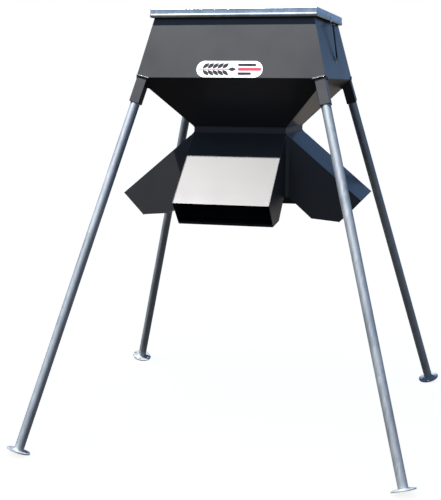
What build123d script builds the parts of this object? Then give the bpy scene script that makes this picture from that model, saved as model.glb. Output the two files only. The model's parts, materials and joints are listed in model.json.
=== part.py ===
"""Gravity stand feeder: a square steel hopper with a four-chute feed head on four splayed tube legs.

Millimetres, +Z up. The origin is on the ground under the middle of the feeder and -Y is the front.
"""
import os
from math import atan, cos, degrees, radians, sin, sqrt, tan

from build123d import *

os.makedirs("parts", exist_ok=True)

# ---------------------------------------------------------------- driving dimensions
sheet = 1.5  # steel sheet of the hopper and the feed head

shoulder_half = 406.4  # hopper, half its width across the bend
shoulder_z = 1580.0  # ground to the bend
upper_height = 288.6  # bend to the top edge
cone_height = 211.0  # bend down to the neck
upper_taper = 72.4  # how far the upper panel leans in, from the bend to the top edge
bend_radius = 3.5  # outside radius of a bend in a sheet
neck_half = 206.0  # neck and feed head, half their width
neck_height = 25.5
neck_plate = 3.0

rim_flange = 22.5  # hopper's top edge to the outside of the rim channel
rim_depth = 20.0  # rim channel: height of its skirt
rim_gap = 1.1  # rim channel to the inside of the lid's hem
lid_depth = 38.0
lid_sheet = 1.2
lid_roll = 5.0  # radius of the lid's rolled top edge
hem_height = 10.0
lid_rest_gap = 0.2  # lid to the rim it rests on

chute_run = 331.5  # neck to the top lip of a chute, level
roof_angle = 40.13
mouth_height = 132.3  # along the cut end of a chute
mouth_lean = 43.16  # cut end of a chute, from vertical
tray_depth = 122.0
tray_angle = 4.94
floor_angle = 41.4
lip_height = 13.0
corner_bend = 18.0  # outside radius of the bend between two chutes
diverter_tip = 3.0  # half width of the flat on top of the diverter

baffle_back = 94.0  # neck to a baffle, level
baffle_opening = 98.0  # floor to a baffle's lower edge
guide_depth = 20.0  # baffle's side flanges, which guide the gate
gate_opening = 42.0  # floor to the gate's lower edge, at rest
gate_height = 110.0
gate_rise = 35.0
gate_fall = 25.0
gate_side_gap = 1.0
gate_face_gap = 0.3
stud_r = 3.0
stud_above_baffle = 12.0
stud_reach = 14.0
slot_gap = 0.5
nut_bore_gap = 0.05
nut_r = 7.0
nut_depth = 6.0
wing_span = 30.0
wing_height = 12.0
wing_thickness = 3.0

leg_slope = tan(radians(15.2))  # outward travel of a leg along X, and along Y, for each mm of fall
leg_r = 20.65
leg_wall = 1.65
leg_fit = 0.35  # leg to the flat inside of its socket
socket_wall = 2.0
socket_corner_r = 3.5
socket_length = 114.6
socket_edge = 2.8  # shoulder edge to a socket's outer face, level with its cap
cap_plate = 3.0
cap_overhang = 3.0
leg_top_gap = 6.0
disc_r = 50.8
disc_plate = 4.8
anchor_hole_r = 6.35
anchor_hole_pcd = 76.2
set_bolt_r = 4.0
set_bolt_down = 70.0
set_nut_flats = 13.0
set_nut_height = 6.5
set_head_height = 5.5

strap_width = 16.0
strap_thickness = 6.0
strap_pin_up = 84.5  # bend to the strap's pin
strap_base_gap = 0.9  # strap's eye to its anchor's base
strap_pin_r = 2.0
strap_eye_r = 4.6
strap_eye_gap = 0.05
bulb_r = 6.0
bulb_half = 20.0
bulb_above_keeper = 1.0
bulb_behind_gap = 1.0
anchor_plate = 2.0
anchor_length = 32.0
ear_side_gap = 0.6
keeper_plate = 2.0
keeper_climb = 18.2  # keeper's height on the lid's skirt
keeper_below_lid = 15.0  # lid's lower edge to the top of the keeper's fork
keeper_past_bulb = 2.0
keeper_side_margin = 1.0  # keeper past the ends of the bulb
fork_gap = 1.0

plate_length = 284.0
plate_height = 70.0
plate_thickness = 0.8
plate_above_bend = 2.0

sides = ("front", "right", "rear", "left")
corners = ("front_right", "rear_right", "rear_left", "front_left")
set_bolt_side = 2  # every set bolt goes into its socket's rear face

# ---------------------------------------------------------------- derived places, as (outward, up)
rim_z = shoulder_z + upper_height
rim_half = shoulder_half - upper_taper
neck_top_z = shoulder_z - cone_height
rim_outer = rim_half + rim_flange
lid_half = rim_outer + rim_gap + 2 * lid_sheet
chute_reach = neck_half + chute_run
baffle_r = neck_half + baffle_back
socket_half = leg_r + leg_fit + socket_wall
strap_pin_z = shoulder_z + strap_pin_up
panel_slope = upper_taper / upper_height
panel_angle = degrees(atan(panel_slope))
panel_out = Vector(cos(radians(panel_angle)), sin(radians(panel_angle)))
panel_up = Vector(-panel_out.Y, panel_out.X)
cone_slope = (shoulder_half - neck_half) / cone_height
neck_bottom_z = neck_top_z - neck_height

roof_fall = tan(radians(roof_angle))
floor_fall = tan(radians(floor_angle))


def roof_z(r):
    """Height of a chute roof's upper face, r from the middle."""
    return neck_bottom_z - (r - neck_half) * roof_fall


roof_drop = sheet / cos(radians(roof_angle))
lip_point = (chute_reach, roof_z(chute_reach))
mouth_in = sin(radians(mouth_lean))
mouth_down = cos(radians(mouth_lean))
tray_front = (lip_point[0] - mouth_height * mouth_in, lip_point[1] - mouth_height * mouth_down)
tray_back = (
    tray_front[0] - tray_depth * cos(radians(tray_angle)),
    tray_front[1] + tray_depth * sin(radians(tray_angle)),
)


def floor_z(r):
    """Height of a chute floor's underside on its slope, r from the middle."""
    return tray_back[1] + (tray_back[0] - r) * floor_fall


floor_rise = sheet / cos(radians(floor_angle))
inner_half = neck_half - sheet

leg_stretch = sqrt(1 + 2 * leg_slope**2)
leg_tilt = atan(leg_slope * sqrt(2))
socket_axis = shoulder_half - socket_half - socket_edge
disc_z = disc_r * sin(leg_tilt)
leg_run = (shoulder_z - disc_z) * leg_stretch


def outward(side):
    """Unit vector out of a side: front -Y, right +X, rear +Y, left -X."""
    angle = radians(90 * side - 90)
    return Vector(round(cos(angle)), round(sin(angle)), 0)


def side_plane(side, across=0.0):
    """Upright plane through the middle of a side: local x is outward and local y is up."""
    out = outward(side)
    return Plane(origin=(0, 0, 0), x_dir=out, z_dir=(out.Y, -out.X, 0)).offset(across)


def plan_plane(corner, z):
    """Level plane whose first quadrant holds the corner."""
    return Plane(origin=(0, 0, z), x_dir=outward(corner), z_dir=(0, 0, 1))


def face_plane(side, r):
    """Upright plane across a side, r from the middle: local x is level, local y is up, z outward."""
    out = outward(side)
    return Plane(origin=out * r, x_dir=(-out.Y, out.X, 0), z_dir=out)


def leg_plane(corner, down):
    """Plane square to a leg's axis, that far down from its socket's cap; local z runs down the leg."""
    diagonal = (outward(corner) + outward(corner + 1)) / sqrt(2)
    axis = diagonal * sin(leg_tilt) - Vector(0, 0, cos(leg_tilt))
    top = diagonal * socket_axis * sqrt(2) + Vector(0, 0, shoulder_z)
    return Plane(origin=top + axis * down, x_dir=diagonal * cos(leg_tilt) + Vector(0, 0, sin(leg_tilt)), z_dir=axis)


def bolt_plane(corner, off_axis):
    """Plane along a socket's rear face, that far from the leg's axis; local z points out of the face."""
    square = leg_plane(corner, set_bolt_down)
    faces = [(square.x_dir * a + square.y_dir * b) / sqrt(2) for a in (-1, 1) for b in (-1, 1)]
    face = max(faces, key=lambda normal: normal.dot(outward(set_bolt_side)))
    return Plane(origin=square.origin + face * off_axis, x_dir=square.z_dir, z_dir=face)


def roof_underside(side):
    """Plane of a chute roof's lower face; local z points up and outward."""
    start = outward(side) * neck_half + Vector(0, 0, roof_z(neck_half) - roof_drop)
    rise = outward(side) * sin(radians(roof_angle)) + Vector(0, 0, cos(radians(roof_angle)))
    return Plane(origin=start, z_dir=rise)


def save(piece, name):
    piece.part.label = name
    export_step(piece.part, f"parts/{name}.step")


# ---------------------------------------------------------------- hopper
# Each panel is one sheet bent at the shoulder, mitred into its neighbours and notched round the sockets.
for side, side_name in enumerate(sides):
    out = outward(side)
    across = Vector(out.Y, -out.X, 0)
    with BuildPart() as panel:
        with BuildSketch(side_plane(side)):
            with BuildLine():
                bent = FilletPolyline(
                    (rim_half - panel_slope * sheet, rim_z + sheet),
                    (shoulder_half, shoulder_z),
                    (neck_half - cone_slope * 2 * sheet, neck_top_z - 2 * sheet),
                    radius=bend_radius,
                )
                offset(bent, amount=sheet, side=Side.RIGHT, kind=Kind.INTERSECTION)
            make_face()
        extrude(amount=shoulder_half, both=True)
        split(bisect_by=Plane.XY.offset(rim_z), keep=Keep.BOTTOM)
        split(bisect_by=Plane.XY.offset(neck_top_z), keep=Keep.TOP)
        for mitre in (out + across, out - across):
            split(bisect_by=Plane(origin=(0, 0, 0), z_dir=mitre), keep=Keep.TOP)
        for corner in (side, side - 1):
            with BuildSketch(leg_plane(corner, 0)):
                Rectangle(2 * socket_half, 2 * socket_half, rotation=45)
            extrude(amount=socket_length, mode=Mode.SUBTRACT)
            with BuildSketch(leg_plane(corner, -cap_plate)):
                Rectangle(2 * (socket_half + cap_overhang), 2 * (socket_half + cap_overhang), rotation=45)
            extrude(amount=cap_plate, mode=Mode.SUBTRACT)
    save(panel, f"hopper_{side_name}_panel")

# Pressed channel round the hopper's top edge, which stiffens it and carries the lid.
rim_inner = rim_outer - sheet
rim_hole = rim_half + panel_slope * sheet
with BuildPart() as rim:
    with BuildSketch(Plane.XY.offset(rim_z - rim_depth)):
        RectangleRounded(2 * rim_outer, 2 * rim_outer, 2 * sheet)
    extrude(amount=rim_depth)
    fillet(rim.faces().sort_by(Axis.Z)[-1].edges(), radius=0.9 * sheet)
    with BuildSketch(Plane.XY.offset(rim_z - rim_depth)):
        RectangleRounded(2 * rim_inner, 2 * rim_inner, sheet)
    extrude(amount=rim_depth - sheet, mode=Mode.SUBTRACT)
    with BuildSketch(Plane.XY.offset(rim_z - sheet)):
        Rectangle(2 * rim_hole, 2 * rim_hole)
    extrude(amount=sheet, mode=Mode.SUBTRACT)
save(rim, "hopper_rim")

with BuildPart() as neck:
    with BuildSketch(Plane.XY.offset(neck_bottom_z)):
        Rectangle(2 * neck_half, 2 * neck_half)
        Rectangle(2 * (neck_half - neck_plate), 2 * (neck_half - neck_plate), mode=Mode.SUBTRACT)
    extrude(amount=neck_height)
save(neck, "neck_band")

# Plain rounded plate on the front panel, just above the bend.
plate_middle = Vector(shoulder_half, shoulder_z) + panel_up * (plate_height / 2 + plate_above_bend)
front_normal = outward(0) * panel_out.X + Vector(0, 0, panel_out.Y)
with BuildPart() as plate:
    with BuildSketch(
        Plane(origin=outward(0) * plate_middle.X + Vector(0, 0, plate_middle.Y), x_dir=(1, 0, 0), z_dir=front_normal)
    ):
        SlotOverall(plate_length, plate_height)
    extrude(amount=plate_thickness)
save(plate, "name_plate")

# ---------------------------------------------------------------- lid
lid_top_z = rim_z + lid_rest_gap + lid_sheet
lid_bottom_z = lid_top_z - lid_depth
with BuildPart() as lid:
    with BuildSketch(Plane.XY.offset(lid_bottom_z)):
        RectangleRounded(2 * lid_half, 2 * lid_half, lid_roll)
    extrude(amount=lid_depth)
    fillet(lid.faces().sort_by(Axis.Z)[-1].edges(), radius=lid_roll)
    offset(amount=-lid_sheet, openings=lid.faces().sort_by(Axis.Z)[0])
    with BuildSketch(Plane.XY.offset(lid_bottom_z)):
        RectangleRounded(2 * (lid_half - lid_sheet), 2 * (lid_half - lid_sheet), lid_roll - lid_sheet)
        hem_inner = lid_half - 2 * lid_sheet
        RectangleRounded(2 * hem_inner, 2 * hem_inner, lid_roll - 2 * lid_sheet, mode=Mode.SUBTRACT)
    extrude(amount=hem_height)
save(lid, "lid")

# ---------------------------------------------------------------- lid straps
strap_pin_off = anchor_plate + strap_base_gap + strap_eye_r
strap_base = Vector(shoulder_half - panel_slope * (strap_pin_z - shoulder_z), strap_pin_z)
strap_foot = strap_base + panel_out * strap_pin_off
fork_z = lid_bottom_z - keeper_below_lid
keeper_top_z = lid_bottom_z + keeper_climb
bulb_middle = Vector(lid_half + keeper_plate + bulb_behind_gap + bulb_r, fork_z + bulb_above_keeper + bulb_r)
fork_end = bulb_middle.X + bulb_r + keeper_past_bulb
strap_line = (bulb_middle - strap_foot).normalized()
strap_side = Vector(-strap_line.Y, strap_line.X) * strap_thickness / 2
ear_half = strap_width / 2 + ear_side_gap + anchor_plate

for side in (1, 3):
    side_name = sides[side]
    middle = side_plane(side)
    with BuildPart() as strap:
        with BuildSketch(middle):
            with BuildLine():
                Polyline(
                    strap_foot + strap_side, bulb_middle + strap_side,
                    bulb_middle - strap_side, strap_foot - strap_side, close=True,
                )
            make_face()
            with Locations(strap_foot):
                Circle(strap_eye_r)
        extrude(amount=strap_width / 2, both=True)
        with BuildSketch(middle):
            with Locations(bulb_middle):
                Circle(bulb_r)
        extrude(amount=bulb_half, both=True)
        with BuildSketch(middle):
            with Locations(strap_foot):
                Circle(strap_pin_r + strap_eye_gap)
        extrude(amount=strap_width, both=True, mode=Mode.SUBTRACT)
    save(strap, f"strap_{side_name}")

    base_end = panel_up * anchor_length / 2
    base_top = panel_out * anchor_plate
    with BuildPart() as anchor:
        with BuildSketch(middle):
            with BuildLine():
                Polyline(
                    strap_base - base_end, strap_base + base_end,
                    strap_base + base_end + base_top, strap_base - base_end + base_top, close=True,
                )
            make_face()
        extrude(amount=ear_half, both=True)
        for face in (ear_half - anchor_plate, -ear_half):
            with BuildSketch(side_plane(side, face)):
                with Locations(strap_foot):
                    Circle(strap_eye_r)
                with BuildLine():
                    Polyline(
                        strap_base - panel_up * strap_eye_r * 2, strap_base + panel_up * strap_eye_r * 2,
                        strap_foot + panel_up * strap_eye_r, strap_foot - panel_up * strap_eye_r, close=True,
                    )
                make_face()
                with Locations(strap_foot):
                    Circle(strap_pin_r, mode=Mode.SUBTRACT)
            extrude(amount=anchor_plate)
    save(anchor, f"strap_anchor_{side_name}")

    with BuildPart() as keeper:
        with BuildSketch(middle):
            with BuildLine():
                bent = FilletPolyline(
                    (lid_half, keeper_top_z),
                    (lid_half, fork_z - keeper_plate),
                    (fork_end, fork_z - keeper_plate),
                    radius=bend_radius,
                )
                offset(bent, amount=keeper_plate, side=Side.LEFT)
            make_face()
        extrude(amount=bulb_half + keeper_side_margin, both=True)
        fork_root = lid_half + bend_radius + fork_gap / 2
        with BuildSketch(plan_plane(side, fork_z - keeper_plate)):
            with Locations((fork_root, 0)):
                Rectangle(fork_end, strap_width + 2 * fork_gap, align=(Align.MIN, Align.CENTER))
        extrude(amount=keeper_plate, mode=Mode.SUBTRACT)
    save(keeper, f"lid_keeper_{side_name}")

with BuildPart() as pins:
    for side in (1, 3):
        with BuildSketch(side_plane(side)):
            with Locations(strap_foot):
                Circle(strap_pin_r)
        extrude(amount=ear_half, both=True)
save(pins, "strap_pins")

# ---------------------------------------------------------------- feed head
# One L-shaped sheet stands between each two chutes: both wings are chute sides and the bend is the corner.
bend_start = neck_half + corner_bend
wing_outline = (
    (bend_start, roof_z(bend_start) - roof_drop),
    (lip_point[0] - sheet * sin(radians(roof_angle)), lip_point[1] - sheet * cos(radians(roof_angle))),
    tray_front,
    tray_back,
    (bend_start, floor_z(bend_start)),
)
corner_sheets = []
for corner, corner_name in enumerate(corners):
    with BuildPart() as corner_sheet:
        bend_outer = corner_bend + sheet
        bend_middle = (bend_start, bend_start)
        with BuildSketch(plan_plane(corner, floor_z(bend_start))):
            with Locations(bend_middle):
                Circle(bend_outer)
                Circle(corner_bend, mode=Mode.SUBTRACT)
                Rectangle(bend_outer, bend_outer, align=(Align.MAX, Align.MAX), mode=Mode.INTERSECT)
        extrude(amount=neck_bottom_z - floor_z(bend_start))
        for side in (corner, corner + 1):
            split(bisect_by=roof_underside(side), keep=Keep.BOTTOM)
        # a small web closes the bend's inside corner, beside the diverter
        with BuildSketch(plan_plane(corner, floor_z(neck_half))):
            with Locations((inner_half, inner_half)):
                Rectangle(bend_start - inner_half, bend_start - inner_half, align=(Align.MIN, Align.MIN))
            with Locations(bend_middle):
                Circle(bend_outer, mode=Mode.SUBTRACT)
        extrude(amount=sheet)
        for plane in (side_plane(corner, -neck_half), side_plane(corner + 1, inner_half)):
            with BuildSketch(plane):
                with BuildLine():
                    Polyline(*wing_outline, close=True)
                make_face()
            extrude(amount=sheet)
    save(corner_sheet, f"head_{corner_name}_side")
    corner_sheets.append(corner_sheet.part)

baffle_z = floor_z(baffle_r) + floor_rise + baffle_opening
gate_z = floor_z(baffle_r) + floor_rise + gate_opening
stud_z = baffle_z + stud_above_baffle
gate_r = baffle_r + sheet + gate_face_gap
nut_face_r = gate_r + sheet + gate_face_gap
gate_half = inner_half - sheet - gate_side_gap

for side, side_name in enumerate(sides):
    middle = side_plane(side)
    with BuildPart() as roof:
        with BuildSketch(middle):
            with BuildLine():
                slope = Line((neck_half - 2 * sheet, roof_z(neck_half - 2 * sheet)), lip_point)
                offset(slope, amount=sheet, side=Side.RIGHT)
            make_face()
        extrude(amount=bend_start, both=True)
        split(bisect_by=Plane(origin=outward(side) * neck_half, z_dir=outward(side)), keep=Keep.TOP)
        # the roof meets its neighbours on the mitre, reaches over both bends and narrows to the wings
        for mitre in (outward(side) + outward(side + 1), outward(side) - outward(side + 1)):
            split(bisect_by=Plane(origin=(0, 0, 0), z_dir=mitre), keep=Keep.TOP)
        for corner in (side, side - 1):
            with BuildSketch(plan_plane(corner, lip_point[1] - roof_drop)):
                with Locations(bend_middle):
                    Circle(corner_bend)
                with Locations((bend_start, neck_half), (neck_half, bend_start)):
                    Rectangle(chute_reach, chute_reach, align=(Align.MIN, Align.MIN))
            extrude(amount=neck_bottom_z + sheet - lip_point[1] + roof_drop, mode=Mode.SUBTRACT)
    save(roof, f"chute_{side_name}_roof")

    with BuildPart() as floor:
        with BuildSketch(middle):
            with BuildLine():
                bent = FilletPolyline(
                    (inner_half - 2 * sheet, floor_z(inner_half - 2 * sheet)),
                    tray_back,
                    tray_front,
                    (tray_front[0] + lip_height * mouth_in, tray_front[1] + lip_height * mouth_down),
                    radius=bend_radius,
                )
                offset(bent, amount=sheet, side=Side.LEFT, kind=Kind.INTERSECTION)
            make_face()
        extrude(amount=inner_half, both=True)
        split(bisect_by=Plane(origin=outward(side) * inner_half, z_dir=outward(side)), keep=Keep.TOP)
    save(floor, f"chute_{side_name}_floor")

    # fixed baffle with side flanges, hung from the roof across the chute
    with BuildPart() as baffle:
        with BuildSketch(middle):
            with BuildLine():
                Polyline(
                    (baffle_r, baffle_z), (baffle_r + sheet, baffle_z),
                    (baffle_r + sheet, roof_z(baffle_r + sheet) - roof_drop),
                    (baffle_r, roof_z(baffle_r) - roof_drop), close=True,
                )
            make_face()
        extrude(amount=inner_half, both=True)
        for face in (inner_half - sheet, -inner_half):
            with BuildSketch(side_plane(side, face)):
                with BuildLine():
                    Polyline(
                        (baffle_r, baffle_z), (baffle_r + guide_depth, baffle_z),
                        (baffle_r + guide_depth, roof_z(baffle_r + guide_depth) - roof_drop),
                        (baffle_r, roof_z(baffle_r) - roof_drop), close=True,
                    )
                make_face()
            extrude(amount=sheet)
        with BuildSketch(face_plane(side, baffle_r)):
            with Locations((0, stud_z)):
                Circle(stud_r + slot_gap)
        extrude(amount=sheet, mode=Mode.SUBTRACT)
    save(baffle, f"{side_name}_gate_baffle")

    # sliding gate with an upright slot for the stud
    with BuildPart() as gate:
        with BuildSketch(face_plane(side, gate_r)):
            with Locations((0, gate_z)):
                Rectangle(2 * gate_half, gate_height, align=(Align.CENTER, Align.MIN))
            slot_length = gate_rise + gate_fall + 2 * (stud_r + slot_gap)
            with Locations((0, stud_z + (gate_fall - gate_rise) / 2)):
                SlotOverall(slot_length, 2 * (stud_r + slot_gap), rotation=90, mode=Mode.SUBTRACT)
        extrude(amount=sheet)
    save(gate, f"{side_name}_flow_gate")

    with BuildPart() as nut:
        with BuildSketch(face_plane(side, nut_face_r)):
            with Locations((0, stud_z)):
                Circle(nut_r)
        extrude(amount=nut_depth)
        with BuildSketch(face_plane(side, nut_face_r + nut_depth / 3)):
            with Locations((0, stud_z)):
                SlotOverall(wing_span, wing_thickness)
        extrude(amount=wing_height)
        with BuildSketch(face_plane(side, nut_face_r)):
            with Locations((0, stud_z)):
                Circle(stud_r + nut_bore_gap)
        extrude(amount=wing_height * 2, mode=Mode.SUBTRACT)
    save(nut, f"{side_name}_wing_nut")

with BuildPart() as studs:
    for side in range(4):
        with BuildSketch(face_plane(side, baffle_r - 2 * sheet)):
            with Locations((0, stud_z)):
                Circle(2 * stud_r)
        extrude(amount=2 * sheet)
        with BuildSketch(face_plane(side, baffle_r)):
            with Locations((0, stud_z)):
                Circle(stud_r)
        extrude(amount=nut_face_r - baffle_r + stud_reach)
save(studs, "gate_studs")

# Folded sheet pyramid that splits the feed four ways, in line with the chute floors.
with BuildPart() as diverter:
    for lift, mode in ((0.0, Mode.ADD), (-floor_rise, Mode.SUBTRACT)):
        base_z = floor_z(inner_half) + floor_rise
        with BuildSketch(Plane.XY.offset(base_z + lift)):
            Rectangle(2 * inner_half, 2 * inner_half)
        with BuildSketch(Plane.XY.offset(base_z + lift + (inner_half - diverter_tip) * floor_fall)):
            Rectangle(2 * diverter_tip, 2 * diverter_tip)
        loft(mode=mode)
save(diverter, "feed_diverter")

# ---------------------------------------------------------------- legs
for corner, corner_name in enumerate(corners):
    # square socket in the hopper's corner, with a hole for the set bolt in its rear face
    with BuildPart() as socket:
        with BuildSketch(leg_plane(corner, 0)):
            RectangleRounded(2 * socket_half, 2 * socket_half, socket_corner_r, rotation=45)
            hollow = 2 * (socket_half - socket_wall)
            RectangleRounded(hollow, hollow, socket_corner_r - socket_wall, rotation=45, mode=Mode.SUBTRACT)
        extrude(amount=socket_length)
        with BuildSketch(bolt_plane(corner, socket_half - socket_wall)):
            Circle(set_bolt_r)
        extrude(amount=socket_wall, mode=Mode.SUBTRACT)
    save(socket, f"{corner_name}_leg_socket")

    with BuildPart() as cap:
        with BuildSketch(leg_plane(corner, -cap_plate)):
            Rectangle(2 * (socket_half + cap_overhang), 2 * (socket_half + cap_overhang), rotation=45)
        extrude(amount=cap_plate)
    save(cap, f"{corner_name}_socket_cap")

    with BuildPart() as leg:
        with BuildSketch(leg_plane(corner, leg_top_gap)):
            Circle(leg_r)
            Circle(leg_r - leg_wall, mode=Mode.SUBTRACT)
        extrude(amount=leg_run - disc_plate - leg_top_gap)
    save(leg, f"{corner_name}_leg")

    with BuildPart() as disc:
        with BuildSketch(leg_plane(corner, leg_run - disc_plate)):
            Circle(disc_r)
            with PolarLocations(anchor_hole_pcd / 2, 4, start_angle=45):
                Circle(anchor_hole_r, mode=Mode.SUBTRACT)
        extrude(amount=disc_plate)
    save(disc, f"{corner_name}_foot_disc")

with BuildPart() as set_nuts:
    for corner in range(4):
        with BuildSketch(bolt_plane(corner, socket_half)):
            RegularPolygon(set_nut_flats / sqrt(3), 6)
            Circle(set_bolt_r, mode=Mode.SUBTRACT)
        extrude(amount=set_nut_height)
save(set_nuts, "leg_set_nuts")

with BuildPart() as set_bolts:
    for corner in range(4):
        with BuildSketch(bolt_plane(corner, leg_r)):
            Circle(set_bolt_r)
        shank = socket_half + set_nut_height + set_bolt_r - leg_r
        extrude(amount=shank)
        with BuildSketch(bolt_plane(corner, leg_r + shank)):
            RegularPolygon(set_nut_flats / sqrt(3), 6)
        extrude(amount=set_head_height)
save(set_bolts, "leg_set_bolts")
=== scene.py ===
import json
from math import cos, pi, radians, sin, sqrt

import bmesh
import bpy
from mathutils import Matrix, Vector


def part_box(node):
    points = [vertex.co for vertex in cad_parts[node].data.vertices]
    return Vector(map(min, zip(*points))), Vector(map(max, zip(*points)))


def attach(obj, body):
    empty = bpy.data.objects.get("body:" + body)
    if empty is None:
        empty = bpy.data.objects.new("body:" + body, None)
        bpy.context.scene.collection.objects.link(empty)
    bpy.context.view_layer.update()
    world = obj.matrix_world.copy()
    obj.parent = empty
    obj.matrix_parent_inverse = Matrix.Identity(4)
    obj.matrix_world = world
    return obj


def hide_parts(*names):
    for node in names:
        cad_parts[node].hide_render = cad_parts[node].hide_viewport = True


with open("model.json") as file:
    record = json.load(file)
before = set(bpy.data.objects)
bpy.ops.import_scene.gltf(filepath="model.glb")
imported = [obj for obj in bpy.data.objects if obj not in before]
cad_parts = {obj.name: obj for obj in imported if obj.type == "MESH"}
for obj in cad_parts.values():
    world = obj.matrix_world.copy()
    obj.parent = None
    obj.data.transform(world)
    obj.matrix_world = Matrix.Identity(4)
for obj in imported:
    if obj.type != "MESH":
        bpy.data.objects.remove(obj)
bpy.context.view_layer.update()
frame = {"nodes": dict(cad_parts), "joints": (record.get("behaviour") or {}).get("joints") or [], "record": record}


# ---------------------------------------------------------------- camera, sky, sun and floor
# The viewer stands in front of the feeder and to its right, with the eye a little below the lid.
# A hard sun stands high on the left, and the sky is brighter in front of the feeder than behind it.
# The ground that the paint mirrors is dry earth, but what is shown is a plain pale floor.
scene = bpy.context.scene
eye = (1.065, -4.634, 1.557)
pan, tilt, roll = 14.53, 80.85, 0.371
camera_data = bpy.data.cameras.new("camera")
camera_data.lens = 74.41
camera = bpy.data.objects.new("camera", camera_data)
camera.matrix_world = (
    Matrix.Translation(eye)
    @ Matrix.Rotation(radians(pan), 4, "Z")
    @ Matrix.Rotation(radians(tilt), 4, "X")
    @ Matrix.Rotation(radians(roll), 4, "Z")
)
scene.collection.objects.link(camera)
scene.camera = camera
scene.view_settings.view_transform = "Standard"


def linear(colour):
    """Linear red, green, blue and alpha of an sRGB hex colour."""
    shares = [int(colour[i : i + 2], 16) / 255 for i in (1, 3, 5)]
    return [s / 12.92 if s <= 0.04045 else ((s + 0.055) / 1.055) ** 2.4 for s in shares] + [1.0]


def add_node(tree, kind, inputs=(), ramp=(), **settings):
    """Adds a node with its settings. Inputs are values or links, and a ramp's stops are (place, colour)."""
    made = tree.nodes.new(kind)
    for name, value in settings.items():
        setattr(made, name, value)
    for name, value in dict(inputs).items():
        if isinstance(value, bpy.types.NodeSocket):
            tree.links.new(value, made.inputs[name])
        else:
            made.inputs[name].default_value = value
    for index, (place, colour) in enumerate(ramp):
        stops = made.color_ramp.elements
        stop = stops[index] if index < 2 else stops.new(place)
        stop.position = place
        stop.color = linear(colour)
    return made


# colours by height: 0 is straight down, 0.5 the horizon and 1 straight up
near_ground = (
    (0.0, "#302e2b"), (0.15, "#474541"), (0.2, "#6a6662"),
    (0.3, "#75716d"), (0.42, "#787471"), (0.49, "#76757a"),
)
far_ground = (
    (0.0, "#302e2b"), (0.15, "#3f3d3a"), (0.3, "#7d7770"),
    (0.4, "#b0aaa4"), (0.47, "#6b6a6d"), (0.49, "#565a63"),
)
sky_behind = ((0.51, "#98b7dc"), (0.56, "#84a6d0"), (0.63, "#4b6c9b"), (1.0, "#3f5d90"))
sky_in_front = ((0.51, "#6d8cae"), (0.6, "#86a5ca"), (0.72, "#97b4d9"), (0.85, "#a2bce5"), (1.0, "#6c8bbc"))

world = bpy.data.worlds.new("open_sky")
world.use_nodes = True
scene.world = world
tree = world.node_tree
tree.nodes.clear()
direction = add_node(tree, "ShaderNodeTexCoord").outputs["Generated"]
parts = add_node(tree, "ShaderNodeSeparateXYZ", {"Vector": direction}).outputs
height = add_node(tree, "ShaderNodeMapRange", {"Value": parts["Z"], "From Min": -1.0}).outputs["Result"]
behind = add_node(
    tree, "ShaderNodeMapRange", {"Value": parts["Y"], "From Min": -0.3, "From Max": 0.6},
    interpolation_type="SMOOTHSTEP",
).outputs["Result"]
front_colour = add_node(tree, "ShaderNodeValToRGB", {"Fac": height}, ramp=near_ground + sky_in_front)
rear_colour = add_node(tree, "ShaderNodeValToRGB", {"Fac": height}, ramp=far_ground + sky_behind)
sky_colour = add_node(
    tree, "ShaderNodeMixRGB",
    {"Fac": behind, "Color1": front_colour.outputs["Color"], "Color2": rear_colour.outputs["Color"]},
)
sky = add_node(tree, "ShaderNodeBackground", {"Color": sky_colour.outputs["Color"]})
backdrop = add_node(tree, "ShaderNodeBackground", {"Color": linear("#ffffff")})
seen = add_node(tree, "ShaderNodeLightPath").outputs["Is Camera Ray"]
shown = add_node(tree, "ShaderNodeMixShader", {0: seen, 1: sky.outputs[0], 2: backdrop.outputs[0]})
add_node(tree, "ShaderNodeOutputWorld", {"Surface": shown.outputs[0]})

floor_half = 60.0
floor_mesh = bpy.data.meshes.new("floor")
floor_corners = [(x * floor_half, y * floor_half, 0) for x, y in ((-1, -1), (1, -1), (1, 1), (-1, 1))]
floor_mesh.from_pydata(floor_corners, [], [(0, 1, 2, 3)])
floor = bpy.data.objects.new("floor", floor_mesh)
scene.collection.objects.link(floor)
floor.visible_diffuse = False
floor.visible_glossy = False
floor_paint = bpy.data.materials.new("pale_studio_floor")
floor_paint.use_nodes = True
tree = floor_paint.node_tree
tree.nodes.clear()
shade = add_node(
    tree, "ShaderNodeBsdfPrincipled",
    {"Base Color": linear("#f9d9b0"), "Roughness": 0.9, "Emission Color": linear("#ffffff"),
     "Emission Strength": 0.83},
)
add_node(tree, "ShaderNodeOutputMaterial", {"Surface": shade.outputs[0]})
floor_mesh.materials.append(floor_paint)

sun_data = bpy.data.lights.new("sun", "SUN")
sun_data.energy = 15.0
sun_data.angle = radians(1.5)
sun_data.color = (1.0, 0.985, 0.965)
toward_sun = Vector((-0.297, -0.232, 0.926))
sun = bpy.data.objects.new("sun", sun_data)
sun.matrix_world = toward_sun.to_track_quat("Z", "Y").to_matrix().to_4x4()
scene.collection.objects.link(sun)
unlit = bpy.data.collections.new("not_in_the_sun")
unlit.objects.link(floor)
sun.light_linking.receiver_collection = unlit
unlit.collection_objects[0].light_linking.link_state = "EXCLUDE"


# ---------------------------------------------------------------- hopper, neck and head: black powder coat
# Bent and welded steel sheet, powder coated satin black. The coat is sprayed as dry powder and baked,
# so it flows into a faint orange peel, and after a while outdoors it holds a little dust on top.
def new_material(name):
    """An empty material, its node tree, and the object coordinates in it, which are metres."""
    material = bpy.data.materials.new(name)
    material.use_nodes = True
    material.node_tree.nodes.clear()
    return material, material.node_tree, add_node(material.node_tree, "ShaderNodeTexCoord").outputs["Object"]


def finish_material(tree, inputs):
    """Ends a material's tree with a Principled shader that takes these inputs."""
    shader = add_node(tree, "ShaderNodeBsdfPrincipled", inputs)
    add_node(tree, "ShaderNodeOutputMaterial", {"Surface": shader.outputs["BSDF"]})


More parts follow.
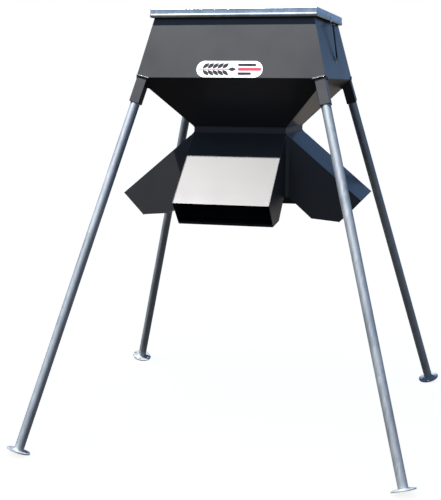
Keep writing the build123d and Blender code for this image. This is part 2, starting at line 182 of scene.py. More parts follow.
def make_powder_coat():
    """Dark satin: broad highlights, fine peel of 3 mm, and pale dust that gathers on top."""
    material, tree, place = new_material("satin_black_powder_coat")
    cloud = add_node(
        tree, "ShaderNodeTexNoise", {"Vector": place, "Scale": 1 / 0.14, "Detail": 5.0}
    ).outputs[0]
    peel = add_node(
        tree, "ShaderNodeTexNoise", {"Vector": place, "Scale": 1 / 0.003, "Detail": 2.0}
    ).outputs[0]
    normal = add_node(tree, "ShaderNodeTexCoord").outputs["Normal"]
    tilt = add_node(tree, "ShaderNodeSeparateXYZ", {"Vector": normal}).outputs["Z"]
    dusty = add_node(
        tree, "ShaderNodeMapRange", {"Value": tilt, "From Min": 0.1, "From Max": 1.0, "To Max": 0.08}
    ).outputs["Result"]
    dust = add_node(tree, "ShaderNodeMath", {0: dusty, 1: cloud}, operation="MULTIPLY").outputs[0]
    colour = add_node(
        tree, "ShaderNodeMixRGB", {"Fac": dust, "Color1": linear("#222122"), "Color2": linear("#8a857c")}
    ).outputs["Color"]
    gloss = add_node(
        tree, "ShaderNodeMapRange",
        {"Value": cloud, "From Min": 0.3, "From Max": 0.7, "To Min": 0.44, "To Max": 0.5},
    ).outputs["Result"]
    bump = add_node(tree, "ShaderNodeBump", {"Height": peel, "Strength": 0.12, "Distance": 0.0003}).outputs[0]
    finish_material(tree, {"Base Color": colour, "Roughness": gloss, "Normal": bump,
                           "Coat Weight": 0.25, "Coat Roughness": 0.15})
    return material


SIDES = ("front", "right", "rear", "left")
CORNERS = ("front_right", "rear_right", "rear_left", "front_left")
nodes = frame["nodes"]
powder_coat = make_powder_coat()
coated = [f"hopper_{side}_panel" for side in SIDES]
coated += [f"chute_{side}_{part}" for side in SIDES for part in ("roof", "floor")]
coated += [f"{side}_gate_baffle" for side in SIDES]
coated += [f"{corner}_{part}" for corner in CORNERS for part in ("leg_socket", "socket_cap")]
coated += [f"head_{corner}_side" for corner in CORNERS]
coated += ["hopper_rim", "neck_band", "feed_diverter"]
for name in coated:
    nodes[name].data.materials[0] = powder_coat


def turned(side):
    """Turn about the feeder's upright axis that takes +X to the outward direction of a side."""
    return Matrix.Rotation(radians(90 * side - 90), 4, "Z")


def outward_of(side):
    """Level direction out of the feeder at a side."""
    return turned(side) @ Vector((1, 0, 0))


def mesh_of(name, shape):
    """A mesh of a bmesh that is used up: its doubles are merged and its normals turned outward."""
    bmesh.ops.remove_doubles(shape, verts=shape.verts, dist=1e-6)
    bmesh.ops.recalc_face_normals(shape, faces=shape.faces)
    mesh = bpy.data.meshes.new(name)
    shape.to_mesh(mesh)
    shape.free()
    return mesh


def add_piece(name, shape, material, body, stands_for=()):
    """Makes a finished piece of a bmesh: round stretches smooth, edges sharp, and riding on its body."""
    mesh = mesh_of(name, shape)
    for face in mesh.polygons:
        face.use_smooth = True
    mesh.set_sharp_from_angle(angle=radians(32))
    mesh.materials.append(material)
    made = bpy.data.objects.new(name, mesh)
    scene.collection.objects.link(made)
    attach(made, body)
    if stands_for:
        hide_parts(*stands_for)


def skin(shape, rings, capped=True):
    """Joins a row of point rings into a tube, with a flat cap at each end."""
    made = [[shape.verts.new(point) for point in ring] for ring in rings]
    for lower, upper in zip(made, made[1:]):
        for index in range(len(lower)):
            following = (index + 1) % len(lower)
            shape.faces.new((lower[index], lower[following], upper[following], upper[index]))
    if capped:
        shape.faces.new(made[0])
        shape.faces.new(reversed(made[-1]))


def lathe(shape, profile, place, turns=32):
    """Turns (radius, height) points about local Z; a profile that ends where it starts makes a ring."""
    angles = [2 * pi * i / turns for i in range(turns)]
    for (r0, h0), (r1, h1) in zip(profile, profile[1:]):
        rings = [
            [place @ Vector((r * cos(a), r * sin(a), h)) for a in angles] for r, h in ((r0, h0), (r1, h1))
        ]
        if max(r0, r1) > 0:
            skin(shape, rings, capped=False)


# Seams are welded from outside. The beads at the neck and round the sockets keep their ripples under the
# coat, and the corners of the hopper and the chutes are dressed smooth, a little proud of the sheet.
def new_group(name, inputs):
    """An empty node group, the identifiers of its named inputs, and the inputs inside it."""
    group = bpy.data.node_groups.new(name, "GeometryNodeTree")
    keys = {
        label: group.interface.new_socket(label, in_out="INPUT", socket_type=kind).identifier
        for label, kind in inputs
    }
    group.interface.new_socket("Piece", in_out="OUTPUT", socket_type="NodeSocketGeometry")
    return group, keys, add_node(group, "NodeGroupInput").outputs


def finish_group(group, geometry, finish):
    """Ends a node group: its instances are made real and take their material."""
    whole = add_node(group, "GeometryNodeRealizeInstances", {"Geometry": geometry}).outputs["Geometry"]
    finished = add_node(group, "GeometryNodeSetMaterial", {"Geometry": whole, "Material": finish})
    add_node(group, "NodeGroupOutput", {"Piece": finished.outputs["Geometry"]})


def make_seam_tree(name, rippled):
    """Nodes that lay a weld along seams: a row of overlapping ripples, or one smooth round run."""
    group, keys, given = new_group(name, (
        ("Seams", "NodeSocketGeometry"), ("Radius", "NodeSocketFloat"),
        ("Ripple", "NodeSocketFloat"), ("Finish", "NodeSocketMaterial"),
    ))
    line = add_node(group, "GeometryNodeMeshToCurve", {"Mesh": given["Seams"]}).outputs["Curve"]
    if rippled:
        steps = add_node(
            group, "GeometryNodeResampleCurve", {"Curve": line, "Length": given["Ripple"]}, mode="LENGTH"
        ).outputs["Curve"]
        along = add_node(group, "GeometryNodeInputTangent").outputs["Tangent"]
        facing = add_node(
            group, "FunctionNodeAlignRotationToVector", {"Vector": along}, axis="X"
        ).outputs["Rotation"]
        drop = add_node(
            group, "GeometryNodeMeshUVSphere", {"Segments": 8, "Rings": 5, "Radius": 1.0}
        ).outputs["Mesh"]
        overlapping = add_node(
            group, "ShaderNodeMath", {0: given["Ripple"], 1: ripple_overlap}, operation="MULTIPLY"
        ).outputs[0]
        stretched = add_node(
            group, "ShaderNodeCombineXYZ", {"X": overlapping, "Y": given["Radius"], "Z": given["Radius"]}
        ).outputs["Vector"]
        uneven = add_node(
            group, "FunctionNodeRandomValue", {2: 0.92, 3: 1.08, "Seed": 7}, data_type="FLOAT"
        ).outputs[1]
        scale = add_node(
            group, "ShaderNodeVectorMath", {0: stretched, "Scale": uneven}, operation="SCALE"
        ).outputs["Vector"]
        laid = add_node(
            group, "GeometryNodeInstanceOnPoints",
            {"Points": steps, "Instance": drop, "Rotation": facing, "Scale": scale},
        ).outputs["Instances"]
    else:
        section = add_node(
            group, "GeometryNodeCurvePrimitiveCircle", {"Resolution": 12, "Radius": given["Radius"]}
        ).outputs["Curve"]
        laid = add_node(
            group, "GeometryNodeCurveToMesh", {"Curve": line, "Profile Curve": section, "Fill Caps": True}
        ).outputs["Mesh"]
    finish_group(group, laid, given["Finish"])
    return group, keys


def grow(name, group, keys, start, values, body, smooth=True, stands_for=()):
    """Runs a node group on a mesh, and keeps the result as a plain piece on its body."""
    carrier = bpy.data.objects.new(name, start)
    scene.collection.objects.link(carrier)
    modifier = carrier.modifiers.new(name, "NODES")
    modifier.node_group = group
    for label, value in values.items():
        modifier[keys[label]] = value
    bpy.context.view_layer.update()
    grown = bpy.data.meshes.new_from_object(carrier.evaluated_get(bpy.context.evaluated_depsgraph_get()))
    carrier.modifiers.clear()
    carrier.data = grown
    grown.name = name
    for face in grown.polygons:
        face.use_smooth = smooth
    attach(carrier, body)
    if stands_for:
        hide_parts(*stands_for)


def seam_lines(lines, closed=False):
    """A mesh of bare edges, one run of edges for each line of points."""
    points, edges = [], []
    for line in lines:
        first = len(points)
        points += line
        edges += [(first + i, first + i + 1) for i in range(len(line) - 1)]
        if closed:
            edges.append((first + len(line) - 1, first))
    mesh = bpy.data.meshes.new("seams")
    mesh.from_pydata([tuple(point) for point in points], edges, [])
    return mesh


UP = Vector((0, 0, 1))
shoulder_half = 0.4064
shoulder_z = 1.58
rim_half = 0.334
rim_channel_depth = 0.02
ripple_overlap = 1.9  # half length of a ripple, in steps along the seam
bead_radius = 0.0022
bead_ripple = 0.0034
dressed_radius = 0.0018
dressed_inset = 0.0012
neck_low, neck_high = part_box("neck_band")
neck_half = neck_high.x
rim_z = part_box("hopper_rim")[1].z
square = ((-1, -1), (1, -1), (1, 1), (-1, 1))
rippled_seam, rippled_keys = make_seam_tree("rippled_weld", True)
smooth_seam, smooth_keys = make_seam_tree("dressed_weld", False)

neck_loops = [
    [Vector((x * neck_half, y * neck_half, z)) for x, y in square] for z in (neck_low.z, neck_high.z)
]
grow(
    "neck_welds", rippled_seam, rippled_keys, seam_lines(neck_loops, closed=True),
    {"Radius": bead_radius, "Ripple": bead_ripple, "Finish": powder_coat}, "frame",
)

corner_lines = []
for x, y in square:
    run = ((rim_half, rim_z - rim_channel_depth), (shoulder_half, shoulder_z), (neck_half, neck_high.z))
    points = [(half - dressed_inset, z) for half, z in run]
    corner_lines.append([Vector((x * half, y * half, z)) for half, z in points])
roof_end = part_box("chute_right_roof")[1].x
chute_bend_radius = 0.018
bend_end = neck_half + chute_bend_radius
roof_fall = 0.8431  # a chute roof's drop for each metre outward
for side in range(4):
    for across in (-1, 1):
        y = across * (neck_half - dressed_inset)
        edge = []
        for r in (bend_end, roof_end):
            edge.append(Vector((r, y, neck_low.z - dressed_inset - (r - neck_half) * roof_fall)))
        corner_lines.append([turned(side) @ point for point in edge])
grow(
    "corner_welds", smooth_seam, smooth_keys, seam_lines(corner_lines),
    {"Radius": dressed_radius, "Finish": powder_coat}, "frame",
)


# A dressed run closes the foot of each tray's upturned lip, and its round edge shows along the mouth.
lip_bead = 0.0034
lip_depth = 0.012  # the lip lies within this distance of the tray's outer end
lip_lines = []
for side in range(4):
    outward = outward_of(side)
    level = turned(side) @ Vector((0, 1, 0))
    points = [vertex.co for vertex in nodes[f"chute_{SIDES[side]}_floor"].data.vertices]
    end = max(point.dot(outward) for point in points)
    lip = [point for point in points if end - point.dot(outward) < lip_depth]
    foot = min(lip, key=lambda point: point.z)
    half = max(point.dot(level) for point in points)
    place = outward * foot.dot(outward) + UP * (foot.z + lip_bead / 2)
    lip_lines.append([place - level * half, place + level * half])
grow(
    "lip_welds", smooth_seam, smooth_keys, seam_lines(lip_lines),
    {"Radius": lip_bead, "Finish": powder_coat}, "frame",
)


# Each leg socket passes through the cone. Its weld runs down one inner face, round the inner edge
# and up the other, where the faces of the square tube meet the sloping panels.
mounts = {mount["name"]: mount for mount in frame["record"]["mounts"]}
leg_axis, leg_foot, leg_top = [], [], []
for corner_name in CORNERS:
    foot = mounts[f"{corner_name}_foot_face"]
    axis = Vector(foot["axis"]).normalized()
    foot_middle = Vector(foot["pos_m"])
    leg_axis.append(axis)
    leg_foot.append(foot_middle)
    leg_top.append(foot_middle - axis * (shoulder_z - foot_middle.z) / -axis.z)

socket_half = 0.023
socket_reach = socket_half * sqrt(2)
socket_lines = []
for corner in range(4):
    top, axis = leg_top[corner], leg_axis[corner]
    diagonal = Vector((axis.x, axis.y, 0)).normalized()
    inward = diagonal * axis.z - UP * Vector((axis.x, axis.y)).length
    across = axis.cross(inward)
    outs = [outward_of(side) for side in (corner, (corner + 1) % 4)]
    line = []
    for point in (top + across * socket_reach, top + inward * socket_reach, top - across * socket_reach):
        out = max(outs, key=lambda choice: choice.dot(point))
        slope = out * (shoulder_z - neck_high.z) - UP * (shoulder_half - neck_half)
        slope.normalize()
        gap = (out * shoulder_half + UP * shoulder_z - point).dot(slope)
        line.append(point + axis * gap / axis.dot(slope))
    socket_lines += [[line[0], line[1]], [line[1], line[2]]]

# A heavier run closes the cap of each socket against the two panels that it cuts through. It covers the
# cap's outer edges, and its upper side catches the sun.
cap_overhang = 0.003
cap_bead = 0.0045
cap_bead_drop = 0.0015
cap_bead_sunk = 0.001
panel_slope = (shoulder_half - rim_half) / (rim_z - shoulder_z)
cap_lines = []
for corner in range(4):
    top, axis = leg_top[corner], leg_axis[corner]
    outs = [outward_of(side) for side in (corner, (corner + 1) % 4)]
    normals = [(out + UP * panel_slope).normalized() for out in outs]
    shoulders = [out * shoulder_half + UP * shoulder_z for out in outs]
    limits = [shoulder.dot(normal) - cap_bead_sunk for shoulder, normal in zip(shoulders, normals)]
    planes = Matrix((axis, normals[0], normals[1]))
    start = planes.inverted() @ Vector((top.dot(axis) + cap_bead_drop, *limits))
    ends = []
    for out, other in (outs, reversed(outs)):
        along = axis.cross((out + UP * panel_slope).normalized())
        along *= -1 if along.dot(other) > 0 else 1
        reach = (socket_half + cap_overhang - (start - top).dot(-other)) / along.dot(-other)
        ends.append(start + along * reach)
    cap_lines.append([ends[0], start, ends[1]])
grow(
    "cap_welds", rippled_seam, rippled_keys, seam_lines(cap_lines),
    {"Radius": cap_bead, "Ripple": bead_ripple, "Finish": powder_coat}, "frame",
)
grow(
    "socket_welds", rippled_seam, rippled_keys, seam_lines(socket_lines),
    {"Radius": bead_radius, "Ripple": bead_ripple, "Finish": powder_coat}, "frame",
)


# ---------------------------------------------------------------- name plate
# Printed vinyl label with round ends, on the front panel just above the bend. The print is plain:
# an ear of grain in charcoal, and three bars, one of them dull red, in place of words.
def make_vinyl():
    """Smooth glossy white film, dulled and greyed a little where grime has settled in patches."""
    material, tree, place = new_material("gloss_white_vinyl")
    grime = add_node(
        tree, "ShaderNodeTexNoise", {"Vector": place, "Scale": 1 / 0.03, "Detail": 4.0}
    ).outputs[0]
    tone = add_node(
        tree, "ShaderNodeValToRGB", {"Fac": grime}, ramp=((0.35, "#dedfe0"), (0.6, "#e8e9ea"))
    ).outputs["Color"]
    gloss = add_node(
        tree, "ShaderNodeMapRange", {"Value": grime, "To Min": 0.28, "To Max": 0.4}
    ).outputs["Result"]
    finish_material(tree, {"Base Color": tone, "Roughness": gloss})
    return material


def make_ink(name, thin, thick):
    """Screen ink on vinyl: flat colour that varies a little with the ink's thickness."""
    material, tree, place = new_material(name)
    patch = add_node(
        tree, "ShaderNodeTexNoise", {"Vector": place, "Scale": 1 / 0.004, "Detail": 2.0}
    ).outputs[0]
    tone = add_node(
        tree, "ShaderNodeValToRGB", {"Fac": patch}, ramp=((0.3, thin), (0.7, thick))
    ).outputs["Color"]
    finish_material(tree, {"Base Color": tone, "Roughness": 0.45})
    return material


panel_lean = radians(14.083)
label_low, label_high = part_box("name_plate")
label_length = label_high.x - label_low.x
label_height = 0.07
label_thickness = 0.0008
print_thickness = 0.0001
label_place = Matrix.Translation((label_low + label_high) / 2) @ Matrix.Rotation(pi / 2 - panel_lean, 4, "X")


def flat_shape(shape, outline):
    """A thin slab of ink in this outline, on top of the film and sunk a little into it."""
    heights = (label_thickness / 2 - print_thickness / 2, label_thickness / 2 + print_thickness)
    skin(shape, [[label_place @ Vector((x, y, height)) for x, y in outline] for height in heights])


def round_bar(middle, length, height, steps=10):
    """Outline of a bar with round ends."""
    radius = height / 2
    turn = [pi * i / steps - pi / 2 for i in range(steps + 1)]
    right = [(middle[0] + length / 2 - radius + radius * cos(a), middle[1] + radius * sin(a)) for a in turn]
    left = [(middle[0] - length / 2 + radius - radius * cos(a), middle[1] - radius * sin(a)) for a in turn]
    return right + left


def grain(base, angle, length, width, steps=8):
    """Outline of one grain, pointed at both ends."""
    along, aside = Vector((cos(angle), sin(angle))), Vector((-sin(angle), cos(angle)))
    shares = [i / steps for i in range(steps + 1)]
    upper = [Vector(base) + along * length * t + aside * width / 2 * sin(pi * t) for t in shares]
    lower = [Vector(base) + along * length * t - aside * width / 2 * sin(pi * t) for t in shares[-2:0:-1]]
    return [tuple(point) for point in upper + lower]


film = bmesh.new()
film_edge = 0.0003
film_top = label_thickness / 2
rings = []
for inset, height in ((0, -film_top), (0, film_top - film_edge), (film_edge, film_top)):
    outline = round_bar((0, 0), label_length - 2 * inset, label_height - 2 * inset, steps=24)
    rings.append([label_place @ Vector((x, y, height)) for x, y in outline])
skin(film, rings)
add_piece("label_film", film, make_vinyl(), "frame", ["name_plate"])

dark_print = bmesh.new()
ear_start, ear_length, grain_pairs = -0.130, 0.134, 5
grain_length, grain_width, grain_turn, grain_step = 0.036, 0.0165, 0.66, 0.0212
first_grain, grain_off_stem, tip_grain_back = 0.014, 0.0036, 0.010
for pair in range(grain_pairs):
    root = ear_start + first_grain + pair * grain_step
    for turn in (-1, 1):
        base = (root, turn * grain_off_stem)
        flat_shape(dark_print, grain(base, turn * grain_turn, grain_length, grain_width))
flat_shape(dark_print, grain((ear_start + ear_length - tip_grain_back, 0), 0, grain_length, grain_width))
bar_left, bar_height, bar_step = 0.036, 0.0115, 0.0185
for row, length in ((1, 0.078), (-1, 0.058)):
    flat_shape(dark_print, round_bar((bar_left + length / 2, row * bar_step), length, bar_height))
charcoal_ink = make_ink("charcoal_ink", "#101216", "#08090b")
add_piece("label_dark_print", dark_print, charcoal_ink, "frame")
red_print = bmesh.new()
red_bar_length, red_bar_height = 0.1, 0.013225
stem_height, stem_back = 0.0044, 0.008
flat_shape(red_print, round_bar((bar_left + red_bar_length / 2, 0), red_bar_length, red_bar_height))
flat_shape(red_print, round_bar((ear_start + ear_length / 2 - stem_back, 0), ear_length, stem_height))
red_ink = make_ink("dull_red_ink", "#b23a4c", "#8f2438")
add_piece("label_red_print", red_print, red_ink, "frame")


# ---------------------------------------------------------------- lid
# Pan of galvanised sheet that drops over the rim. The top edge is rolled, the flat of the skirt is set
# back a little, and the hem is folded under into a round bead. The top is creased to shed rain.
def make_galvanised(name, crystal, stretch, tones, gloss, dullness):
    """Zinc that froze in crystals of this size, each with its own tone and gloss, under a grey bloom."""
    material, tree, place = new_material(name)
    squeezed = add_node(tree, "ShaderNodeMapping", {"Vector": place, "Scale": stretch}).outputs["Vector"]
    drift = add_node(
        tree, "ShaderNodeTexNoise", {"Vector": squeezed, "Scale": 0.6 / crystal, "Detail": 2.0}
    ).outputs["Color"]
    warped = add_node(
        tree, "ShaderNodeVectorMath", {0: drift, 1: (crystal, crystal, crystal), 2: squeezed},
        operation="MULTIPLY_ADD",
    ).outputs["Vector"]
    flake = add_node(tree, "ShaderNodeTexVoronoi", {"Vector": warped, "Scale": 1 / crystal}).outputs["Color"]
    channels = add_node(tree, "ShaderNodeSeparateColor", {"Color": flake}).outputs
    bloom = add_node(
        tree, "ShaderNodeTexNoise", {"Vector": squeezed, "Scale": 1 / 0.09, "Detail": 6.0}
    ).outputs[0]
    mottle = add_node(
        tree, "ShaderNodeMath", {0: channels["Red"], 1: 0.45, 2: bloom}, operation="MULTIPLY_ADD"
    ).outputs[0]
    tone = add_node(
        tree, "ShaderNodeValToRGB", {"Fac": mottle},
        ramp=((0.3, tones[0]), (0.62, tones[1]), (0.95, tones[2])),
    ).outputs["Color"]
    shine = add_node(
        tree, "ShaderNodeMapRange", {"Value": channels["Green"], "To Min": gloss[0], "To Max": gloss[1]}
    ).outputs["Result"]
    metal = add_node(
        tree, "ShaderNodeMapRange", {"Value": bloom, "From Min": 0.35, "From Max": 0.75,
                                     "To Min": 1.0, "To Max": 1.0 - dullness}
    ).outputs["Result"]
    relief = add_node(
        tree, "ShaderNodeBump", {"Height": channels["Blue"], "Strength": 0.05, "Distance": 0.0002}
    ).outputs[0]
    finish_material(tree, {"Base Color": tone, "Metallic": metal, "Roughness": shine, "Normal": relief})
    return material


spangled_sheet = make_galvanised(
    "spangled_galvanised_sheet", 0.014, (1, 1, 1), ("#aeb2b5", "#c1c5c8", "#d3d7d9"), (0.3, 0.33), 0.0
)
lid_low, lid_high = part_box("lid")
lid_half = lid_high.x
lid_sheet = 0.0012
lid_roll = 0.0055
set_back = 0.0012
hem_height = 0.0155
hem_bulge = 0.0024
hem_power = 1.3  # the hem bulges as this power of a half wave
hem_steps = 12
crown = 0.003
corner_radius = 0.006
crease_steps = 8
arc_steps = 6
flat_half = lid_half - set_back - lid_roll


def rounded_square(half, radius, z):
    """Points round a square with round corners, counter-clockwise."""
    points = []
    middle = half - radius
    for quarter in range(4):
        for step in range(arc_steps + 1):
            angle = pi / 2 * (quarter + step / arc_steps)
            x = (1 if quarter in (0, 3) else -1) * middle + radius * cos(angle)
            y = (1 if quarter in (0, 1) else -1) * middle + radius * sin(angle)
            points.append(Vector((x, y, z)))
    return points


def crease_loop(step, z):
    """The edge of the flat top drawn in toward the lid's middle, where the sheet stands a little higher."""
    share = 1 - step / crease_steps
    edge = rounded_square(flat_half, corner_radius / 2, z + crown * (1 - share))
    return [Vector((point.x * share, point.y * share, point.z)) for point in edge]


# the section of the wall, outside from the top edge down, then under the hem and up the inside
roll_in, roll_z = -set_back - lid_roll, lid_high.z - lid_roll
wall = []
for i in range(arc_steps + 1):
    angle = pi / 2 * i / arc_steps
    wall.append((roll_in + lid_roll * sin(angle), roll_z + lid_roll * cos(angle)))
for i in range(hem_steps + 1):
    share = i / hem_steps
    bulge = hem_bulge * sin(pi * share) ** hem_power
    wall.append((-set_back + bulge, lid_low.z + hem_height - hem_height * share))
wall += [(-set_back - lid_sheet, lid_low.z), (-set_back - lid_sheet, roll_z)]
inner_roll = lid_roll - lid_sheet
for i in range(1, arc_steps + 1):
    angle = pi / 2 * i / arc_steps
    wall.append((roll_in + inner_roll * cos(angle), roll_z + inner_roll * sin(angle)))
loops = [crease_loop(step, lid_high.z) for step in range(crease_steps - 1, 0, -1)]
for offset, z in wall:
    loops.append(rounded_square(lid_half + offset, corner_radius + max(offset, -corner_radius / 2), z))
loops += [crease_loop(step, lid_high.z - lid_sheet) for step in range(1, crease_steps)]
lid_shape = bmesh.new()
skin(lid_shape, loops)
add_piece("lid_pan", lid_shape, spangled_sheet, "lid", ["lid"])


# ---------------------------------------------------------------- lid keepers, strap anchors and rivets
# The keepers are bent strips of the lid's own galvanised sheet, riveted to its skirt. The anchors are
# folded brackets riveted to the side panels, zinc plated like their pins and the domed rivets.
def make_zinc_plate(name, light, dark):
    """Bright zinc plating: even silver, faintly warm and cool, with the fine lines of a polishing belt."""
    material, tree, place = new_material(name)
    cloud = add_node(
        tree, "ShaderNodeTexNoise", {"Vector": place, "Scale": 1 / 0.012, "Detail": 4.0}
    ).outputs[0]
    belt = add_node(tree, "ShaderNodeMapping", {"Vector": place, "Scale": (1, 1, 0.06)}).outputs["Vector"]
    lines = add_node(
        tree, "ShaderNodeTexNoise", {"Vector": belt, "Scale": 1 / 0.0006, "Detail": 2.0}
    ).outputs[0]
    tone = add_node(
        tree, "ShaderNodeValToRGB", {"Fac": cloud}, ramp=((0.35, dark), (0.65, light))
    ).outputs["Color"]
    gloss = add_node(
        tree, "ShaderNodeMapRange", {"Value": lines, "To Min": 0.2, "To Max": 0.42}
    ).outputs["Result"]
    bump = add_node(
        tree, "ShaderNodeBump", {"Height": lines, "Strength": 0.06, "Distance": 0.0001}
    ).outputs[0]
    finish_material(tree, {"Base Color": tone, "Metallic": 1.0, "Roughness": gloss, "Normal": bump})
    return material


zinc = make_zinc_plate("bright_zinc_plate", "#c9cbc9", "#adb0b4")
for name in ("strap_anchor_right", "strap_anchor_left", "strap_pins"):
    nodes[name].data.materials[0] = zinc
for name in ("lid_keeper_right", "lid_keeper_left"):
    nodes[name].data.materials[0] = spangled_sheet


def make_fastener_tree():
    """Nodes that stand one shape on each point, with its local Z along the point's facing."""
    group, keys, given = new_group("fasteners", (
        ("Places", "NodeSocketGeometry"), ("Shape", "NodeSocketObject"),
        ("Size", "NodeSocketFloat"), ("Finish", "NodeSocketMaterial"),
    ))
    facing = add_node(
        group, "GeometryNodeInputNamedAttribute", {"Name": "facing"}, data_type="FLOAT_VECTOR"
    ).outputs[0]
    upright = add_node(
        group, "FunctionNodeAlignRotationToVector", {"Vector": facing}, axis="Z"
    ).outputs["Rotation"]
    shape = add_node(group, "GeometryNodeObjectInfo", {"Object": given["Shape"]}).outputs["Geometry"]
    turn = add_node(
        group, "FunctionNodeRandomValue", {2: 0.0, 3: 2 * pi, "Seed": 11}, data_type="FLOAT"
    ).outputs[1]
    about_z = add_node(group, "ShaderNodeCombineXYZ", {"Z": turn}).outputs["Vector"]
    spin = add_node(group, "FunctionNodeEulerToRotation", {"Euler": about_z}).outputs["Rotation"]
    posed = add_node(
        group, "FunctionNodeRotateRotation", {"Rotation": upright, "Rotate By": spin}, rotation_space="LOCAL"
    ).outputs["Rotation"]
    stood = add_node(
        group, "GeometryNodeInstanceOnPoints",
        {"Points": given["Places"], "Instance": shape, "Rotation": posed, "Scale": given["Size"]},
    ).outputs["Instances"]
    finish_group(group, stood, given["Finish"])
    return group, keys


def pattern(name, shape):
    """A shape that the fastener nodes repeat. It isn't in the scene itself."""
    return bpy.data.objects.new(name, mesh_of(name, shape))


def facing_points(places):
    """A mesh of bare points that each hold the direction they face."""
    mesh = bpy.data.meshes.new("places")
    mesh.from_pydata([tuple(point) for point, out in places], [], [])
    facing = mesh.attributes.new("facing", "FLOAT_VECTOR", "POINT")
    for index, (point, out) in enumerate(places):
        facing.data[index].vector = out
    return mesh


fasteners, fastener_keys = make_fastener_tree()
rivet_radius = 0.0036
rivet_height = 0.0018
rivet_sunk = 0.0004
dome_steps = 5
rivet_dome = []
for i in range(dome_steps + 1):
    angle = pi / 2 * i / dome_steps
    rivet_dome.append((rivet_radius * sin(angle), rivet_height * cos(angle)))
rivet_dome += [(rivet_radius, -rivet_sunk), (0, -rivet_sunk)]
rivet_shape = bmesh.new()
lathe(rivet_shape, rivet_dome, Matrix.Identity(4), turns=20)
rivet = pattern("rivet", rivet_shape)
keeper_plate = 0.002
keeper_rivet_spread = 0.0145
keeper_rivet_rise = 0.011
anchor_rivet_spread = 0.0125
anchor_rivet_size = 0.7
pin_off_plate = 0.0055
strapped_sides = (1, 3)
keeper_rivets, anchor_rivets = [], []
strap_joints = {joint["child"]: joint for joint in frame["joints"] if joint["type"] == "hinge"}
for side in strapped_sides:
    turn = turned(side)
    panel_normal = turn @ Vector((cos(panel_lean), 0, sin(panel_lean)))
    panel_up = turn @ Vector((-sin(panel_lean), 0, cos(panel_lean)))
    plate_middle = Vector(strap_joints[f"{SIDES[side]}_strap"]["pos_m"]) - panel_normal * pin_off_plate
    for way in (-1, 1):
        point = Vector((lid_half + keeper_plate, way * keeper_rivet_spread, lid_low.z + keeper_rivet_rise))
        keeper_rivets.append((turn @ point, outward_of(side)))
        anchor_rivets.append((plate_middle + panel_up * way * anchor_rivet_spread, panel_normal))
grow("keeper_rivets", fasteners, fastener_keys, facing_points(keeper_rivets),
     {"Shape": rivet, "Size": 1.0, "Finish": zinc}, "lid")
grow("anchor_rivets", fasteners, fastener_keys, facing_points(anchor_rivets),
     {"Shape": rivet, "Size": anchor_rivet_size, "Finish": zinc}, "frame")


# ---------------------------------------------------------------- lid straps
# Moulded black rubber draw straps. An eye at the foot turns on the anchor's pin, the body is waisted
# with grip ribs near the top, and the barrel across the top hooks over the keeper's fork.
def make_rubber():
    """Matt black rubber, greyed a little by the sun, with the fine grain of a blasted mould."""
    material, tree, place = new_material("moulded_black_rubber")
    bloom = add_node(
        tree, "ShaderNodeTexNoise", {"Vector": place, "Scale": 1 / 0.02, "Detail": 4.0}
    ).outputs[0]
    grit = add_node(
        tree, "ShaderNodeTexNoise", {"Vector": place, "Scale": 1 / 0.0008, "Detail": 2.0}
    ).outputs[0]
    tone = add_node(
        tree, "ShaderNodeValToRGB", {"Fac": bloom}, ramp=((0.3, "#141415"), (0.7, "#222223"))
    ).outputs["Color"]
    gloss = add_node(
        tree, "ShaderNodeMapRange", {"Value": bloom, "To Min": 0.5, "To Max": 0.75}
    ).outputs["Result"]
    bump = add_node(tree, "ShaderNodeBump", {"Height": grit, "Strength": 0.2, "Distance": 0.0002}).outputs[0]
    finish_material(tree, {"Base Color": tone, "Roughness": gloss, "Normal": bump})
    return material


